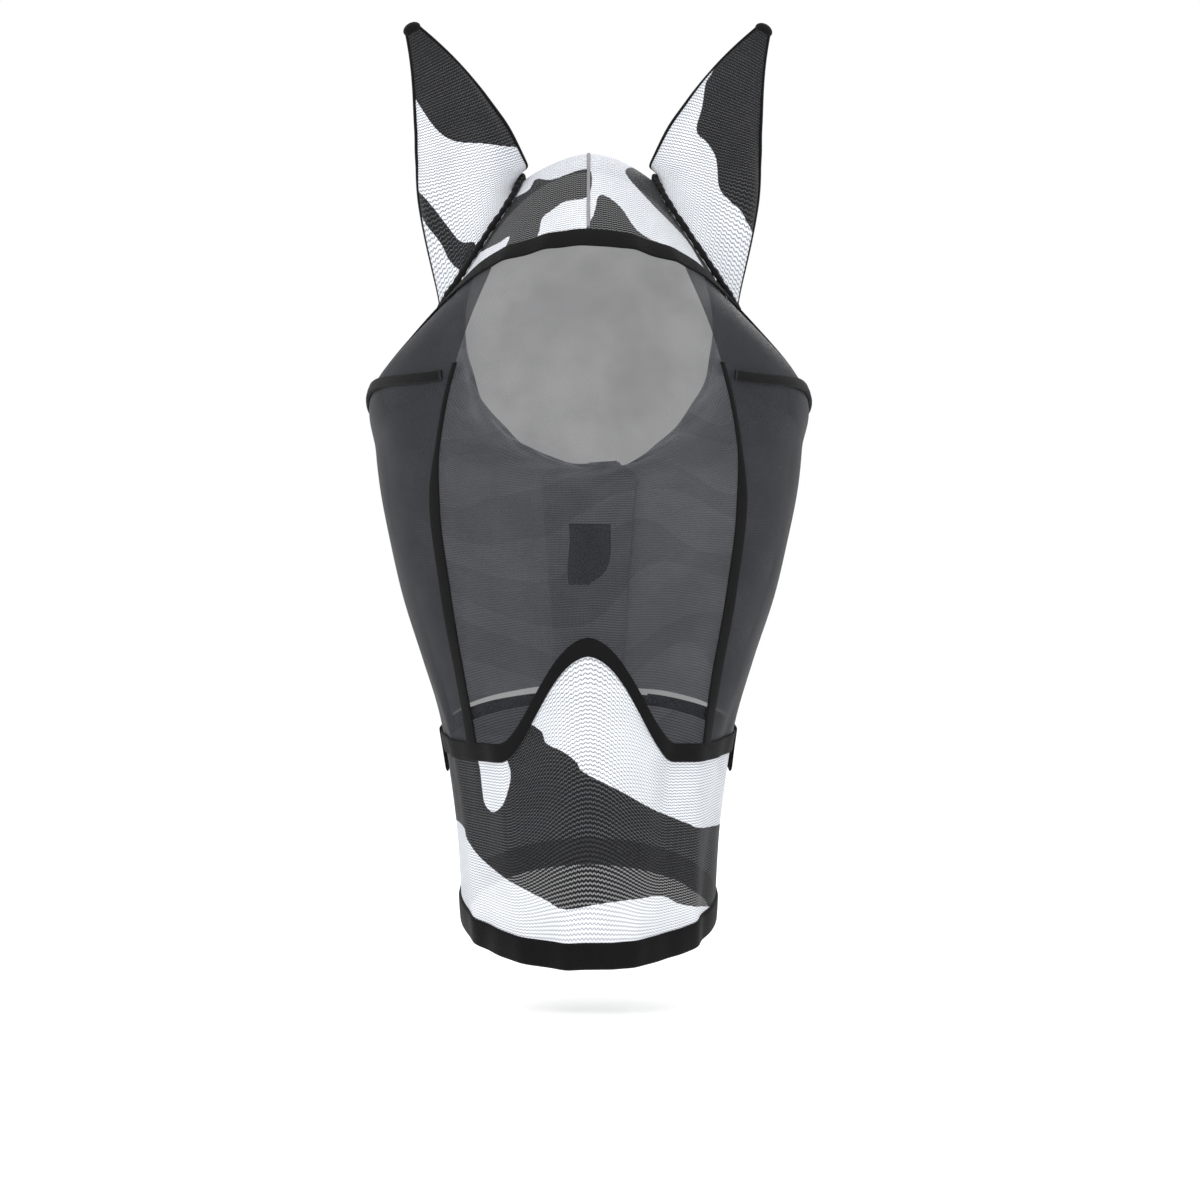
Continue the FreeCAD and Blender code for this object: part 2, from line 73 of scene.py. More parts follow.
def smooth_row(rows, place):
    """A Catmull-Rom curve through evenly spaced rows of values."""
    rows = np.asarray(rows, float)
    place = np.asarray(place, float)
    padded = np.concatenate([[2 * rows[0] - rows[1]], rows, [2 * rows[-1] - rows[-2]]])
    i = np.clip(np.floor(place).astype(int), 0, len(rows) - 2)
    f = place - i
    if rows.ndim > 1:
        f = f[..., None]
    p0, p1, p2, p3 = padded[i], padded[i + 1], padded[i + 2], padded[i + 3]
    return p1 + 0.5 * f * (p2 - p0 + f * (2 * p0 - 5 * p1 + 4 * p2 - p3 + f * (3 * (p1 - p2) + p3 - p0)))


def bare_skin(angle, level):
    """Points of the skin, in millimetres, at angles round the head and levels up it."""
    angle, level = np.broadcast_arrays(np.asarray(angle, float), np.asarray(level, float))
    ring = smooth_row(RINGS, level)
    turn = np.radians(angle)
    share = ((1 - np.cos(turn)) / 2) ** ring[..., 5]
    x = ring[..., 4] * np.sin(turn)
    y = ring[..., 0] + (ring[..., 2] - ring[..., 0]) * share
    z = ring[..., 1] + (ring[..., 3] - ring[..., 1]) * share
    return np.stack([x, y, z], -1)


def slopes(angle, level):
    """How the skin moves per degree and per level."""
    da, dv = 0.5, 0.02
    per_degree = (bare_skin(angle + da, level) - bare_skin(angle - da, level)) / (2 * da)
    per_level = (bare_skin(angle, level + dv) - bare_skin(angle, level - dv)) / (2 * dv)
    return per_degree, per_level


def unit(v):
    return v / np.linalg.norm(v, axis=-1, keepdims=True)


def ease(x):
    x = np.clip(x, 0.0, 1.0)
    return x * x * (3 - 2 * x)


def bump(x, middle, width):
    """A smooth rise to 1 at the middle."""
    return np.exp(-(((x - middle) / width) ** 2))


def relief(angle, level):
    """Soft folds of the worn cloth: how far it stands off the skin, in millimetres."""
    around = (angle + 180) % 360 - 180
    front = ease((115 - np.abs(around)) / 30)
    nose = ease((3.2 - level) / 1.2)
    face = ease((level - 2.6) / 1.2) * ease((8.6 - level) / 1.0)
    crease = 3.4 * bump(around, -9.5, 5.0) * ease((2.6 - level) / 2.4)
    crease += 1.6 * bump(around, -3, 4.0) * face
    pull = sum(
        height * bump(around + lean * (level - 1.0), middle, width)
        for height, middle, width, lean in (
            (2.2, 24, 5, -4), (-1.6, 36, 6, 3), (1.9, 52, 5, 5), (-1.5, 66, 6, -3),
            (1.8, -34, 6, 4), (-1.4, -48, 6, -4), (1.8, -63, 5, 3), (1.1, 9, 4, 2),
        )
    )
    drape = sum(
        height * bump(around - side * spread * (8.2 - level), middle, width)
        for side, height, middle, width, spread in (
            (1, 1.8, 15, 3.4, 1.2), (1, -1.2, 22, 4, 1.6), (1, 1.6, 30, 3, 2.2),
            (-1, 1.8, -14, 3.4, 1.3), (-1, -1.2, -21, 4, 1.7), (-1, 1.5, -29, 3.2, 2.0),
        )
    )
    ripple = 0.5 * np.sin(np.radians(around) * 9 + level * 1.3) * np.sin(level * 2.1 + around / 40)
    hidden = 0.9 * (1 - front) * np.sin(np.radians(around) * 14 + np.sin(level * 1.7) * 2)
    return front * (crease + nose * pull + face * drape) + ripple + hidden


def skin(angle, level, out=0.0):
    """The worn cloth's surface, moved outwards by a number of millimetres."""
    angle, level = np.broadcast_arrays(np.asarray(angle, float), np.asarray(level, float))
    per_degree, per_level = slopes(angle, level)
    normal = unit(np.cross(per_degree, per_level))
    return bare_skin(angle, level) + normal * (np.asarray(out) + relief(angle, level))[..., None]


# ---------------------------------------------------------------- seam lines

REAR_SEAM = 105.0
FLAP_SEAM_SIDE = 66.0
OVERLAP = 13.0
JAW_BOTTOM = 2.0
HEM_WIDTH = 19.0
BINDING = 13.0
SEAM_TAPE = 9.0
NECK_BINDING = 9.0
STAY_WIDTH, STAY_THICK = 7, 2.6
CROWN_SEAM_WIDTH = 2.2
HEM_LOW, HEM_THICK = -0.4, 3.0  # the hem wraps round the edge of the cloth
SEAM_ANGLES = (53, 51, 48.5, 47, 46.5, 42, 34, 35, 36)


def fixed(value):
    return lambda x: np.full(np.shape(x), float(value))


def nose_line(angle):
    away = np.abs((angle + 180) % 360 - 180)
    rise = 0.5 + 0.5 * np.cos(math.pi * np.minimum(away / 36.0, 1.0))
    return 2.2 - 0.35 * np.minimum(away, REAR_SEAM) / 90 + 1.27 * rise


def brow_line(angle):
    return LEVEL["brow"] - 0.8 * ease((np.abs(angle) - 40) / 55)


def dart_line(angle):
    return LEVEL["dart"] - 0.4 + 0.35 * ease((np.abs(angle) - 40) / 50)


def seam_angle(level):
    return smooth_row(SEAM_ANGLES, np.asarray(level) - LEVEL["muzzle"])


def flap_seam(level):
    half_width = smooth_row(RINGS[:, 4], level)
    return 180 - np.degrees(np.arcsin(FLAP_SEAM_SIDE / half_width))


def higher(line, mm):
    """A line moved up the skin by a distance."""
    return lambda angle: line(angle) + mm / np.linalg.norm(slopes(angle, line(angle))[1], axis=-1)


def patch(left, right, bottom, top):
    """Angle and level over a panel between four lines; s runs across it and t up it."""

    def place(s, t):
        level = bottom(0.0 * s) + (top(0.0 * s) - bottom(0.0 * s)) * t
        for _ in range(8):
            angle = left(level) + (right(level) - left(level)) * s
            level = bottom(angle) + (top(angle) - bottom(angle)) * t
        return angle, level

    return place


# ---------------------------------------------------------------- meshes


def grid_uv(points):
    """Cloth coordinates in metres: distances along the middle row and column."""
    rows, columns = points.shape[:2]
    across = np.linalg.norm(np.diff(points[:, columns // 2], axis=0), axis=-1)
    upward = np.linalg.norm(np.diff(points, axis=1), axis=-1).mean(0)
    u = np.concatenate([[0], np.cumsum(across)])[:, None] + np.zeros((1, columns))
    v = np.concatenate([[0], np.cumsum(upward)])[None, :] + np.zeros((rows, 1))
    return np.stack([u, v], -1)


def quads_of(rows, columns, close_rows=False, close_columns=False):
    """Corner numbers of a grid's quads."""
    i = np.arange(rows if close_rows else rows - 1)[:, None]
    j = np.arange(columns if close_columns else columns - 1)[None, :]
    i2, j2 = (i + 1) % rows, (j + 1) % columns
    corners = [i * columns + j, i2 * columns + j, i2 * columns + j2, i * columns + j2]
    return np.stack(corners, -1).reshape(-1, 4)


def make_mesh(name, points, faces, uv, values=None, smooth=True):
    """A mesh object from points in millimetres. uv is one pair for each point."""
    mesh = bpy.data.meshes.new(name)
    face_list = faces if isinstance(faces, list) else faces.tolist()
    mesh.from_pydata((np.asarray(points) * MM).tolist(), [], face_list)
    mesh.update()
    layer = mesh.uv_layers.new(name="cloth")
    corner = np.empty(len(mesh.loops), int)
    mesh.loops.foreach_get("vertex_index", corner)
    layer.data.foreach_set("uv", np.asarray(uv)[corner].ravel().astype(np.float32))
    for key, value in (values or {}).items():
        held = mesh.attributes.new(key, "FLOAT", "POINT")
        held.data.foreach_set("value", np.asarray(value).ravel().astype(np.float32))
    mesh.polygons.foreach_set("use_smooth", [smooth] * len(mesh.polygons))
    obj = bpy.data.objects.new(name, mesh)
    bpy.context.scene.collection.objects.link(obj)
    return obj


def dress(obj, material, body, replaced=(), bend=None):
    """Gives a piece its material, hides the CAD nodes it stands for and ties it to the CAD body it moves
    with; a piece that bends is left free, its transform baked in.
    """
    obj.data.materials.append(material)
    if replaced:
        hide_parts(*([replaced] if isinstance(replaced, str) else replaced))
    if bend:
        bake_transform(obj)
    else:
        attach(obj, body)
    return obj


def span(count):
    return np.linspace(0.0, 1.0, count)


def unit_grid(rows, columns):
    return np.meshgrid(span(rows), span(columns), indexing="ij")


def add_panel(name, place, counts, material, body="head_cover", out=0.75, bend=None, hole=None):
    """A cloth panel on the skin, which stands for the CAD node of the same name."""
    s, t = unit_grid(*counts)
    angle, level = place(s, t)
    lift = out(s, t) if callable(out) else out
    points = skin(angle, level, lift)
    uv = grid_uv(points * MM)
    faces = quads_of(*counts)
    flat = points.reshape(-1, 3)
    if hole is not None:
        faces = faces[~hole(flat[faces].mean(1))]
    values = {"ink": ink_at(flat, name) * MM}
    obj = make_mesh(name + "_cloth", flat, faces, uv.reshape(-1, 2), values)
    dress(obj, material, body, name, bend)
    return obj


# Cross-section of tape: shares of its width and of its thickness.
STRIP_PROFILE = (
    (-0.5, 0.0), (-0.5, 0.55), (-0.46, 0.9), (-0.4, 1.0), (0.0, 1.04), (0.4, 1.0), (0.46, 0.9),
    (0.5, 0.55), (0.5, 0.0),
)


def add_strip(name, places, low, thick, width, material, body="head_cover", node=None, bend=None):
    """Tape along the skin. places(along, across) gives angle and level; across runs from -0.5 to 0.5."""
    step = 2.0
    centre = skin(*places(span(60), np.zeros(60)), 0.0)
    length = np.linalg.norm(np.diff(centre, axis=0), axis=-1).sum()
    rows = max(int(length / step), 4)
    along = span(rows)[:, None]
    across = np.array([p[0] for p in STRIP_PROFILE])[None, :]
    height = np.array([p[1] for p in STRIP_PROFILE])[None, :]
    along, across, height = np.broadcast_arrays(along, across, height)
    angle, level = places(along, across)
    base = low(along, across) if callable(low) else low
    points = skin(angle, level, base + thick * height)
    reach = np.array([0, 0.4, 0.9, 1.6, width / 2, width - 1.6, width - 0.9, width - 0.4, width]) * MM
    uv = np.stack([np.broadcast_to(reach, points.shape[:2]), along * length * MM], -1)
    columns = len(STRIP_PROFILE)
    faces = quads_of(rows, columns, close_columns=True).tolist()
    faces += [list(range(columns))[::-1], list(range((rows - 1) * columns, rows * columns))]
    obj = make_mesh(name + "_tape", points.reshape(-1, 3), faces, uv.reshape(-1, 2))
    dress(obj, material, body, node or name, bend)


def round_places(line, first, last, width):
    """Places of tape that runs round the head along a line."""

    def places(along, across):
        angle = first + (last - first) * along
        return angle, line(angle) + across * width / np.linalg.norm(slopes(angle, line(angle))[1], axis=-1)

    return places


def up_places(line, bottom, top, width, narrow=None):
    """Places of tape that runs up the head along a line. narrow gives its share of the width at a level."""

    def places(along, across):
        level = bottom + (top - bottom) * along
        wide = width if narrow is None else width * narrow(level)
        return line(level) + across * wide / np.linalg.norm(slopes(line(level), level)[0], axis=-1), level

    return places


# ---------------------------------------------------------------- the print

# Outlines of the black stripes seen from the front, in millimetres across and up from the poll.
PRINT = {
    "crown": (
        ((-80, -71), (-78, -61), (-73, -44), (-61, -34), (-43, -27), (-37, -18), (-25, -20),
         (0, -13), (0, -34),
         (-16, -38), (-25, -44), (-32, -50), (-35, -63), (-43, -75), (-53, -92), (-74, -103),
         (-55, -64), (-63, -66)),
        ((7, -34), (14, -35), (23, -43), (32, -57), (41, -64), (52, -70), (52, -90), (-15, -90),
         (-2, -60), (4, -47)),
        ((26, -15), (33, -7), (41, -5), (51, -11), (60, 30), (64, -30), (80, -44), (89, -56),
         (85, -65), (87, -74),
         (94, -88), (93, -99), (83, -86), (70, -64), (57, -50), (44, -37)),
    ),
    "ear_right": (
        ((89, 63), (83, 52), (80, 34), (76, 17), (84, 8), (90, -3), (92, -23), (99, -32),
         (108, -40), (114, -50),
         (126, -54), (150, 48), (150, 120), (114, 120)),
    ),
    "ear_left": (
        ((-150, 52), (-131, 52), (-121, 37), (-109, 19), (-98, 10), (-81, 7), (-44, 10),
         (-60, 60), (-110, 120), (-150, 110)),
        ((-145, -5), (-131, -15), (-114, -32), (-100, -50), (-90, -62), (-80, -63), (-81, -71),
         (-89, -82), (-98, -75),
         (-104, -63), (-114, -50), (-125, -34), (-145, -28)),
    ),
    "nose": (
        ((-36, -400), (-29, -411), (-17, -417), (-8, -424), (-3, -431), (22, -444), (47, -458),
         (68, -467), (80, -471),
         (130, -473), (130, -528), (71, -525), (51, -517), (35, -518), (10, -521), (-16, -525), (-29, -519),
         (-41, -513), (-58, -504), (-75, -491), (-84, -479), (-90, -468), (-130, -452),
         (-130, -390), (-84, -380)),
    ),
}
WHITE_DROP = ((-85, -403), (-70, -405), (-61, -412), (-57, -419), (-53, -431), (-54, -441),
              (-58, -453), (-64, -459),
              (-69, -457), (-72, -450), (-74, -432), (-76, -420), (-75, -412), (-82, -408))


def rounded(outline, steps=5):
    """A closed outline, drawn smoothly through its points."""
    p = np.array(outline, float)
    t = np.arange(steps)[:, None, None] / steps
    p0, p1, p2, p3 = np.roll(p, 1, 0), p, np.roll(p, -1, 0), np.roll(p, -2, 0)
    curve = p1 + 0.5 * t * (p2 - p0 + t * (2 * p0 - 5 * p1 + 4 * p2 - p3 + t * (3 * (p1 - p2) + p3 - p0)))
    return curve.transpose(1, 0, 2).reshape(-1, 2)


def inside_distance(x, z, outline):
    """Distance to an outline, positive inside it."""
    curve = rounded(outline)
    ends = np.roll(curve, -1, 0)
    best = np.full(x.shape, 1e9)
    inside = np.zeros(x.shape, bool)
    for (ax, az), (bx, bz) in zip(curve, ends):
        dx, dz = bx - ax, bz - az
        t = np.clip(((x - ax) * dx + (z - az) * dz) / (dx * dx + dz * dz + 1e-9), 0, 1)
        best = np.minimum(best, (x - ax - t * dx) ** 2 + (z - az - t * dz) ** 2)
        crosses = ((az > z) != (bz > z)) & (x < dx * (z - az) / (dz + 1e-12) + ax)
        inside ^= crosses
    return np.sqrt(best) * np.where(inside, 1, -1)


def wild_stripes(points):
    """Wavy zebra stripes for the cloth round the sides and back: distance into the black."""
    x, y, z = points[:, 0], points[:, 1], points[:, 2]
    wave = z / 52 + 0.32 * np.sin(y / 34 + x / 61) + 0.2 * np.sin(x / 23 + z / 71) + 0.1 * np.sin(y / 13)
    return 9 * (np.sin(2 * math.pi * wave) - 0.15 + 0.5 * np.sin(x / 37 - y / 29))


def ink_at(points, name):
    """Distance into the black of the print at each point, in millimetres: below 0 is white."""
    x, z = points[:, 0], points[:, 2]
    if name.startswith("nose"):
        ink = inside_distance(x, z, PRINT["nose"][0])
        return np.minimum(ink, -inside_distance(x, z, WHITE_DROP))
    if name.startswith("crown"):
        ink = np.max([inside_distance(x, z, outline) for outline in PRINT["crown"]], 0)
        behind = ease((points[:, 1] - 22) / 14)
        return ink * (1 - behind) + wild_stripes(points) * behind
    if name.startswith("ear_front"):
        outlines = PRINT["ear_left" if name.endswith("left") else "ear_right"]
        return np.max([inside_distance(x, z, outline) for outline in outlines], 0)
    return wild_stripes(points)


# ---------------------------------------------------------------- materials


class Shader:
    """Builds one procedural material out of maths nodes."""

    def __init__(self, name):
        self.material = bpy.data.materials.new(name)
        self.material.use_nodes = True
        self.tree = self.material.node_tree
        self.tree.nodes.clear()
        self.output = self.tree.nodes.new("ShaderNodeOutputMaterial")

    def node(self, kind, **settings):
        made = self.tree.nodes.new(kind)
        for key, value in settings.items():
            setattr(made, key, value)
        return made

    def put(self, socket, value):
        if hasattr(value, "is_output"):
            self.tree.links.new(value, socket)
        else:
            socket.default_value = value

    def math(self, operation, a, b=0.0, c=0.0):
        made = self.node("ShaderNodeMath", operation=operation)
        for socket, value in zip(made.inputs, (a, b, c)):
            self.put(socket, value)
        return made.outputs[0]

    def step(self, value, low, high, out_low=0.0, out_high=1.0):
        made = self.node("ShaderNodeMapRange", interpolation_type="SMOOTHSTEP")
        for socket, v in zip(made.inputs, (value, low, high, out_low, out_high)):
            self.put(socket, v)
        return made.outputs[0]

    def blend(self, share, a, b):
        made = self.node("ShaderNodeMix", data_type="RGBA")
        self.put(made.inputs[0], share)
        self.put(made.inputs[6], a)
        self.put(made.inputs[7], b)
        return made.outputs[2]

    def cloth_place(self):
        """The two cloth coordinates, in metres."""
        uv = self.node("ShaderNodeUVMap", uv_map="cloth")
        parts = self.node("ShaderNodeSeparateXYZ")
        self.put(parts.inputs[0], uv.outputs[0])
        return uv.outputs[0], parts.outputs[0], parts.outputs[1]

    def noise(self, scale, detail=3.0, vector=None):
        made = self.node("ShaderNodeTexNoise")
        if vector is None:
            vector = self.node("ShaderNodeTexCoord").outputs["Object"]
        self.put(made.inputs["Vector"], vector)
        made.inputs["Scale"].default_value = scale
        made.inputs["Detail"].default_value = detail
        return made.outputs["Fac"]

    def attribute(self, name):
        return self.node("ShaderNodeAttribute", attribute_name=name).outputs["Fac"]

    def surface(self, color, roughness, height=None, depth=0.0, sheen=0.0, through=None, gloss=0.3):
        """Cloth shader. through is the share of light that passes straight between the threads."""
        cloth = self.node("ShaderNodeBsdfPrincipled")
        self.put(cloth.inputs["Base Color"], color)
        self.put(cloth.inputs["Roughness"], roughness)
        self.put(cloth.inputs["Sheen Weight"], sheen)
        cloth.inputs["Sheen Roughness"].default_value = 0.5
        cloth.inputs["Specular IOR Level"].default_value = gloss
        if height is not None:
            relief_node = self.node("ShaderNodeBump")
            relief_node.inputs["Distance"].default_value = depth
            relief_node.inputs["Strength"].default_value = 1.0
            self.put(relief_node.inputs["Height"], height)
            self.put(cloth.inputs["Normal"], relief_node.outputs[0])
        result = cloth.outputs[0]
        if through is not None:
            clear = self.node("ShaderNodeBsdfTransparent")
            mix = self.node("ShaderNodeMixShader")
            self.put(mix.inputs[0], through)
            self.put(mix.inputs[1], result)
            self.put(mix.inputs[2], clear.outputs[0])
            result = mix.outputs[0]
        self.put(self.output.inputs[0], result)
        return self.material


def rgb(r, g, b):
    return (r, g, b, 1.0)


def knit_print_material():
    """Knitted mesh in rows of zigzag holes, printed black on white, with painted shade and light in its
    holes.
    """
    m = Shader("printed_mesh")
    _, u, v = m.cloth_place()
    ink = m.attribute("ink")
    wander = m.math("MULTIPLY", m.math("SUBTRACT", m.noise(900.0, 2.0), 0.5), 0.0011)
    ink = m.step(m.math("ADD", ink, wander), -0.00022, 0.00022)
    zig = m.math("ABSOLUTE", m.math("SUBTRACT", m.math("FRACT", m.math("DIVIDE", u, 0.0032)), 0.5))
    row = m.math("ADD", m.math("DIVIDE", v, 0.0021), m.math("MULTIPLY", zig, 0.9))
    off_row = m.math("ABSOLUTE", m.math("SUBTRACT", m.math("FRACT", row), 0.5))
    hole = m.step(off_row, 0.26, 0.08)
    stop = m.math("ABSOLUTE", m.math("SUBTRACT", m.math("FRACT", m.math("DIVIDE", u, 0.0016)), 0.5))
    hole = m.math("MULTIPLY", hole, m.step(stop, 0.48, 0.28, 0.35, 1.0))
    tone = m.step(m.noise(30.0, 4.0), 0.3, 0.75, 0.93, 1.04)
    # Painted light in the holes: grey holes in the white print are painted shade seen through the knit, and
    # paler holes in the black print are painted light seen through it.
    white = m.blend(hole, rgb(0.68, 0.70, 0.74), rgb(0.26, 0.28, 0.31))
    black = m.blend(hole, rgb(0.005, 0.005, 0.006), rgb(0.05, 0.052, 0.056))
    reverse = m.node("ShaderNodeNewGeometry").outputs["Backfacing"]
    ink = m.math("MULTIPLY", ink, m.math("SUBTRACT", 1.0, m.math("MULTIPLY", reverse, 0.82)))
    color = m.blend(ink, white, black)
    shaded = m.node("ShaderNodeMix", data_type="RGBA", blend_type="MULTIPLY")
    shaded.inputs[0].default_value = 1.0
    m.put(shaded.inputs[6], color)
    m.put(shaded.inputs[7], tone)
    thread = m.math("SUBTRACT", 1.0, hole)
    through = m.math("MULTIPLY", hole, 0.22)
    return m.surface(shaded.outputs[2], 0.62, thread, 0.0004, 0.03, through, gloss=0.15)


def net_material(name, open_share):
    """Fine black net. open_share is the share of the light that passes it."""
    m = Shader(name)
    _, u, v = m.cloth_place()
    slant = m.math("ADD", m.math("DIVIDE", u, 0.0011), m.math("DIVIDE", v, 0.0019))
    thread = m.math("ABSOLUTE", m.math("SUBTRACT", m.math("FRACT", slant), 0.5))
    rib = m.step(thread, 0.1, 0.42)
    cloud = m.step(m.noise(22.0, 3.0), 0.3, 0.7, -0.03, 0.03)
    through = m.math("ADD", m.math("ADD", open_share - 0.05, m.math("MULTIPLY", rib, 0.1)), cloud)
    color = m.blend(rib, rgb(0.022, 0.023, 0.027), rgb(0.010, 0.0105, 0.013))
    return m.surface(color, 0.5, rib, 0.0001, 0.0, through, gloss=0.12)


def tape_material(name, base, pitch, glow=0.2, rough=0.8):
    """Woven tape, ribbed across its length, with painted shade in the hollows of its weave and painted
    highlight on its raised threads.
    """
    m = Shader(name)
    _, u, v = m.cloth_place()
    rib = m.math("SINE", m.math("MULTIPLY", v, 2 * math.pi / pitch))
    cross = m.math("SINE", m.math("MULTIPLY", u, 2 * math.pi / (pitch * 1.7)))
    weave = m.math("ADD", m.math("MULTIPLY", m.math("MULTIPLY", rib, cross), 0.25), 0.5)
    fuzz = m.noise(650.0, 3.0)
    height = m.math("ADD", weave, m.math("MULTIPLY", fuzz, 0.5))
    # Noise patches that vary how strongly the raised threads are painted lighter.
    rib_highlight_patches = m.step(m.noise(28.0, 4.0), 0.35, 0.8)
    # Painted light: a shaded copy of the base colour in the hollows of the weave, and a lit copy on the
    # raised threads.
    light = tuple(c * 2.1 for c in base)
    dark = tuple(c * 0.7 for c in base)
    share = m.math("MULTIPLY", height, m.math("ADD", 0.45, m.math("MULTIPLY", rib_highlight_patches, 0.4)))
    color = m.blend(share, rgb(*dark), rgb(*light))
    return m.surface(color, rough, height, 0.0005, glow, gloss=0.1)


def hook_material():
    """Rows of tiny hooks, with painted highlight on their tops and painted shade between them."""
    m = Shader("hook_tape")
    _, u, v = m.cloth_place()
    a = m.math("SINE", m.math("MULTIPLY", u, 2 * math.pi / 0.0017))
    b = m.math("SINE", m.math("MULTIPLY", v, 2 * math.pi / 0.0017))
    height = m.step(m.math("MULTIPLY", a, b), 0.1, 0.7)
    # Painted light: the hooks' raised tops are painted lighter and the gaps between them darker, following
    # their bump height.
    color = m.blend(height, rgb(0.012, 0.012, 0.013), rgb(0.045, 0.045, 0.048))
    return m.surface(color, 0.42, height, 0.0007, 0.05)


def loop_material():
    """Soft brushed loops, with random fibre tone and painted highlight on the raised fuzz."""
    m = Shader("loop_tape")
    fuzz = m.noise(1400.0, 5.0)
    # The fuzz is random fibre tone and also the bump height, so the raised fibres are painted lighter as
    # highlight.
    color = m.blend(fuzz, rgb(0.008, 0.008, 0.009), rgb(0.05, 0.05, 0.053))
    return m.surface(color, 0.95, fuzz, 0.0009, 0.5)


printed = knit_print_material()
face_net = net_material("face_net", 0.27)
cheek_net = net_material("cheek_net", 0.05)
binding = tape_material("binding_tape", (0.0022, 0.0022, 0.0026), 0.0011, 0.05)
fleece = tape_material("hem_fleece", (0.0022, 0.0022, 0.0026), 0.0016, 0.08, 0.9)
elastic = tape_material("elastic", (0.0028, 0.0028, 0.0033), 0.0009, 0.05, 0.7)
padding = tape_material("padding", (0.003, 0.003, 0.0035), 0.0013, 0.06)
seam_cord = tape_material("seam_cord", (0.16, 0.16, 0.17), 0.0007)
hooks = hook_material()
loops = loop_material()

# ---------------------------------------------------------------- panels

SIDES = (("left", -1), ("right", 1))


def side_lines(side, inner, outer):
    lines = [lambda level: side * inner(level), lambda level: side * outer(level)]
    return lines if side > 0 else lines[::-1]


rear = fixed(REAR_SEAM)
top_edge = fixed(TOP)
hem_top = higher(fixed(0.0), HEM_WIDTH - 2)

face_place = patch(lambda v: -seam_angle(v), seam_angle, nose_line, brow_line)
nose_place = patch(fixed(-REAR_SEAM), rear, hem_top, nose_line)
chin_place = patch(rear, fixed(360 - REAR_SEAM), hem_top, nose_line)
add_panel("face_mesh", face_place, (100, 150), face_net)
add_panel("nose_panel", nose_place, (190, 110), printed)
add_panel("chin_panel", chin_place, (110, 50), printed)

# ---------------------------------------------------------------- ears

EAR_LENGTH = 152.0
EAR_BASE_ANGLE, EAR_BASE_LEVEL = 54.0, 9.2
EAR_SPREAD = 45.0
EAR_PITCH = {-1: 12.0, 1: 2.0}
EAR_MARGIN = 8.0
EAR_RING_THICK = 3.6
EAR_TURNED = 0.4
EAR_SHARES = (0.0, 0.2, 0.36, 0.5, 0.7, 0.85, 1.0)
EAR_HALF_WIDTHS = (45, 42, 38, 33, 23, 14, 4.5)
EAR_HALF_DEPTHS = (24, 24.5, 24, 20, 14, 9, 4.5)
EAR_STEPS = 12
EAR_ROWS = [
    np.interp(np.arange(EAR_STEPS + 1) / EAR_STEPS, EAR_SHARES, row)
    for row in (EAR_HALF_WIDTHS, EAR_HALF_DEPTHS)
]


def ear_base(side):
    """Middle of an ear's base, and its long, front and outward directions on the crown."""
    angle, level = np.array(side * EAR_BASE_ANGLE), np.array(EAR_BASE_LEVEL)
    per_degree, per_level = slopes(angle, level)
    outward = unit(np.cross(per_degree, per_level))
    front = np.array([0.0, -1.0, 0.0])
    front = unit(front - outward * front.dot(outward))
    long_way = unit(np.cross(outward, front)) * side
    return bare_skin(angle, level), long_way, front, outward


def ear_point(side, turn, share, out=0.0):
    """Points on an ear cover. turn 0 faces forwards, and 90 is away from the middle."""
    turn, share = np.broadcast_arrays(np.asarray(turn, float), np.asarray(share, float))
    base, long_way, base_front, _ = ear_base(side)
    pitch = math.radians(EAR_PITCH[side])
    up = np.array([0.0, -math.sin(pitch), math.cos(pitch)])
    aside = np.array([float(side), 0.0, 0.0])
    s = share[..., None]
    centre = base + up * (s * EAR_LENGTH) + aside * (EAR_SPREAD * s * s)
    along = unit(up * EAR_LENGTH + aside * (2 * EAR_SPREAD * s))
    across = unit(np.cross(along, [0.0, 1.0, 0.0])) * -side
    turned = ease(s / EAR_TURNED)
    width_way = unit(long_way * (1 - turned) + across * turned)
    depth_way = unit(base_front * (1 - turned) + np.cross(along, across) * (-side * turned))
    half_width = smooth_row(EAR_ROWS[0], share * EAR_STEPS) + out
    half_depth = smooth_row(EAR_ROWS[1], share * EAR_STEPS) + out
    angle = np.radians(turn)
    dent = 1 - 0.30 * bump(turn, 10, 38) * ease((share - 0.1) / 0.3) * ease((1.0 - share) / 0.3)
    fold = 1.1 * np.sin(np.radians(turn) * 5 + share * 9) * ease((1.05 - share) / 0.5)
    return (
        centre
        + width_way * ((half_width + fold * 0.6) * np.sin(angle))[..., None]
        + depth_way * ((half_depth + fold) * dent * np.cos(angle))[..., None]
    )


def ring_point(side, turn, grow=0.0):
    """Points of the seam round an ear's opening, just over the crown."""
    base, long_way, front, outward = ear_base(side)
    reach = EAR_MARGIN + EAR_RING_THICK / 2 + 1.0 + grow
    angle = np.radians(np.asarray(turn, float))
    flat = (
        base
        + long_way * ((EAR_HALF_WIDTHS[0] + reach) * np.sin(angle))[..., None]
        + front * ((EAR_HALF_DEPTHS[0] + reach) * np.cos(angle))[..., None]
    )
    around = np.full(angle.shape, side * EAR_BASE_ANGLE)
    level = np.full(angle.shape, EAR_BASE_LEVEL)
    for _ in range(60):
        here = bare_skin(around, level)
        per_degree, per_level = slopes(around, level)
        normal = unit(np.cross(per_degree, per_level))
        lift = ((here - flat) * normal).sum(-1) / (outward * normal).sum(-1)
        miss = flat + outward * lift[..., None] - here
        around = around + 0.7 * (miss * per_degree).sum(-1) / (per_degree ** 2).sum(-1)
        level = level + 0.7 * (miss * per_level).sum(-1) / (per_level ** 2).sum(-1)
        level = np.clip(level, LEVEL["dart"], TOP + 0.5)
    return skin(around, level, 1.6 + EAR_RING_THICK / 2)


